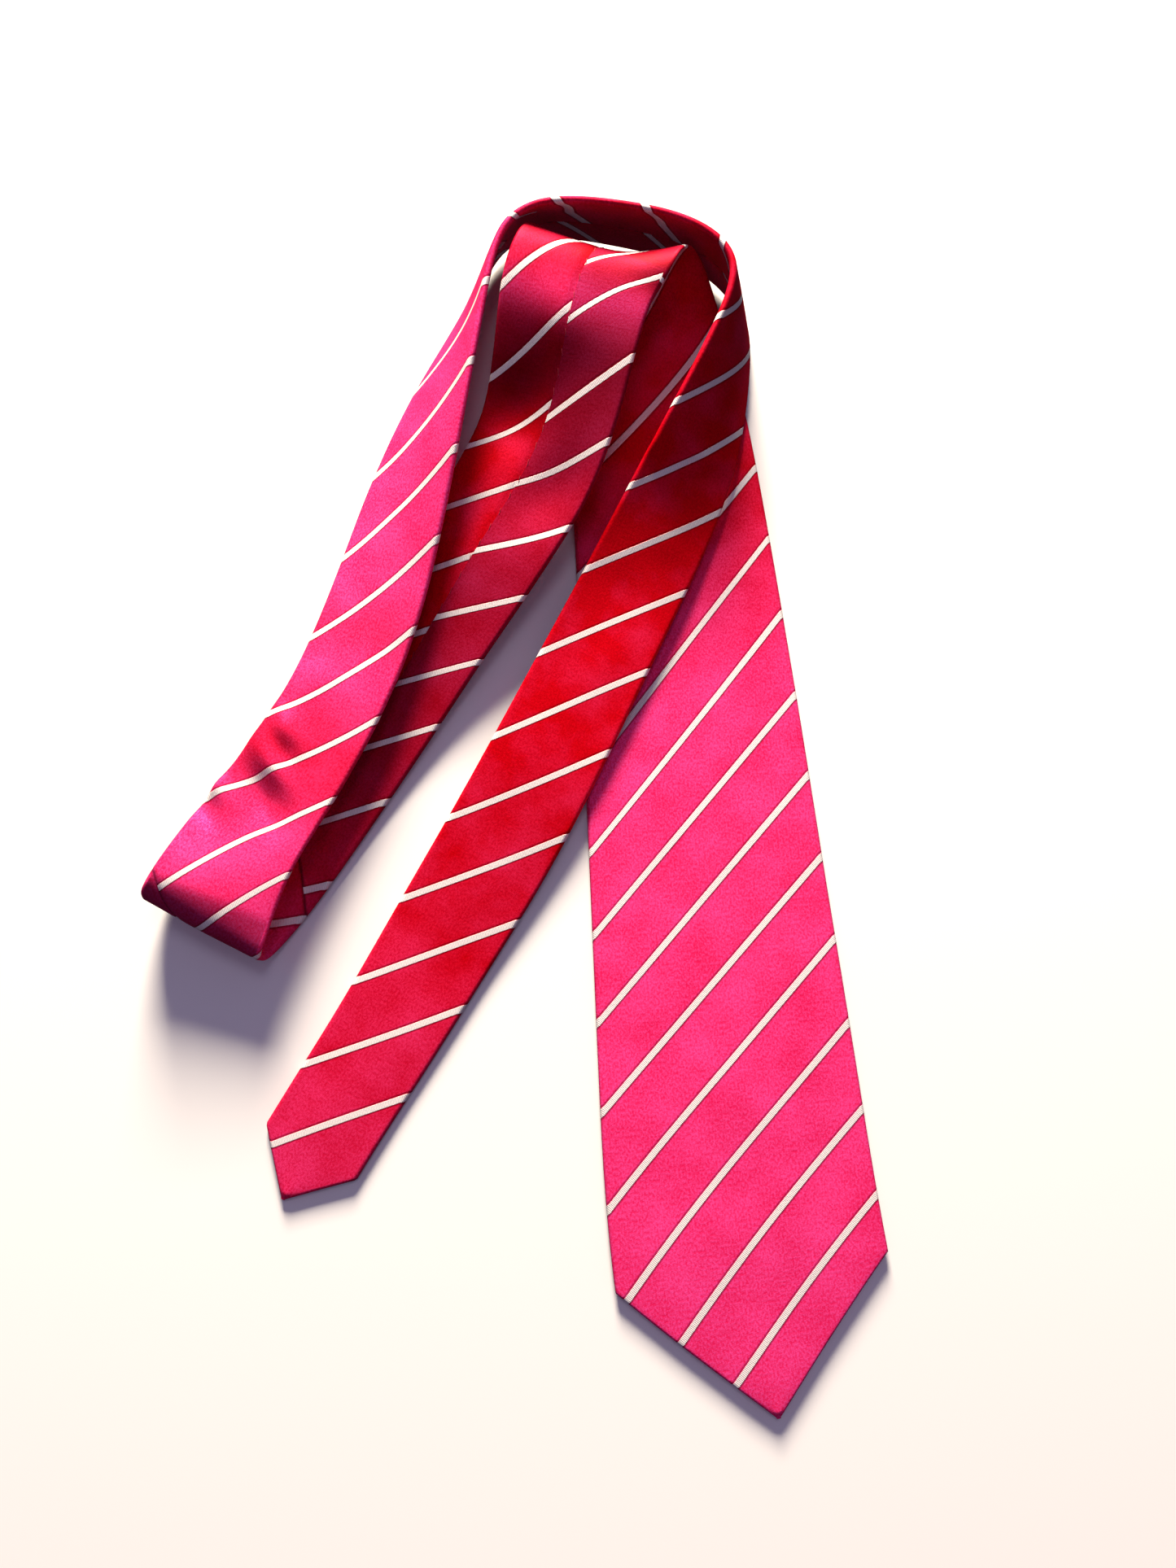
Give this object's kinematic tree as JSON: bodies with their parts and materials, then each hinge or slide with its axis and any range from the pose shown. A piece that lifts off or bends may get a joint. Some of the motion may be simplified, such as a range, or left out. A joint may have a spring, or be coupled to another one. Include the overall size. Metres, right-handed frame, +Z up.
{
  "type": "necktie",
  "caption": "Striped silk necktie laid flat and loosely folded back on itself, with blade, neck, tail, lined interior and keeper loop; both ends lift at a fold.",
  "frame": {"origin": "centre of the bounding box, on the table under the folded tie", "axes": "+Y from the blade's point towards the top folds, +Z up off the table"},
  "size_m": [0.2591, 0.443, 0.0391],
  "materials": {
    "silk": "satin woven silk, crimson with white diagonal stripes",
    "interlining": "brushed wool canvas",
    "tipping": "plain satin lining",
    "thread": "sewing thread",
    "label": "woven label, blank",
    "care_tag": "satin tape, blank"
  },
  "bodies": {
    "top_folds": {"silk_blade_upper": "silk", "silk_blade_top_fold": "silk", "silk_blade_back": "silk", "silk_neck_fold": "silk", "silk_neck_front": "silk", "silk_neck_edge": "silk", "silk_tail_edge": "silk", "silk_tail_upper": "silk", "interlining_blade_upper": "interlining", "interlining_blade_top_fold": "interlining", "interlining_blade_back": "interlining", "interlining_neck_fold": "interlining", "interlining_neck_front": "interlining", "interlining_neck_edge": "interlining", "interlining_tail_edge": "interlining", "interlining_tail_upper": "interlining", "slip_thread_blade": "thread", "slip_thread_neck": "thread", "slip_thread_tail": "thread", "keeper_loop": "silk", "keeper_stitch_left": "thread", "keeper_stitch_right": "thread", "maker_label": "label", "label_stitch_left": "thread", "label_stitch_right": "thread", "care_tag": "care_tag", "join_thread_blade_neck": "thread", "join_thread_neck_tail": "thread"},
    "blade_end": {"silk_blade_end": "silk", "interlining_blade_end": "interlining", "tipping_blade": "tipping", "slip_thread_blade_end": "thread", "bar_tack_blade": "thread"},
    "tail_end": {"silk_tail_end": "silk", "interlining_tail_end": "interlining", "tipping_tail": "tipping", "slip_thread_tail_end": "thread", "bar_tack_tail": "thread"}
  },
  "joints": [
    {"name": "blade_lift", "type": "hinge", "parent": "top_folds", "child": "blade_end", "pos_m": [0.07042, -0.04041, 0.0034], "axis": [-0.9966, -0.0828, 0], "range_deg": [0, 120]},
    {"name": "tail_lift", "type": "hinge", "parent": "top_folds", "child": "tail_end", "pos_m": [-0.02537, -0.06179, 0.0032], "axis": [-0.8633, 0.5047, 0], "range_deg": [0, 120]}
  ]
}
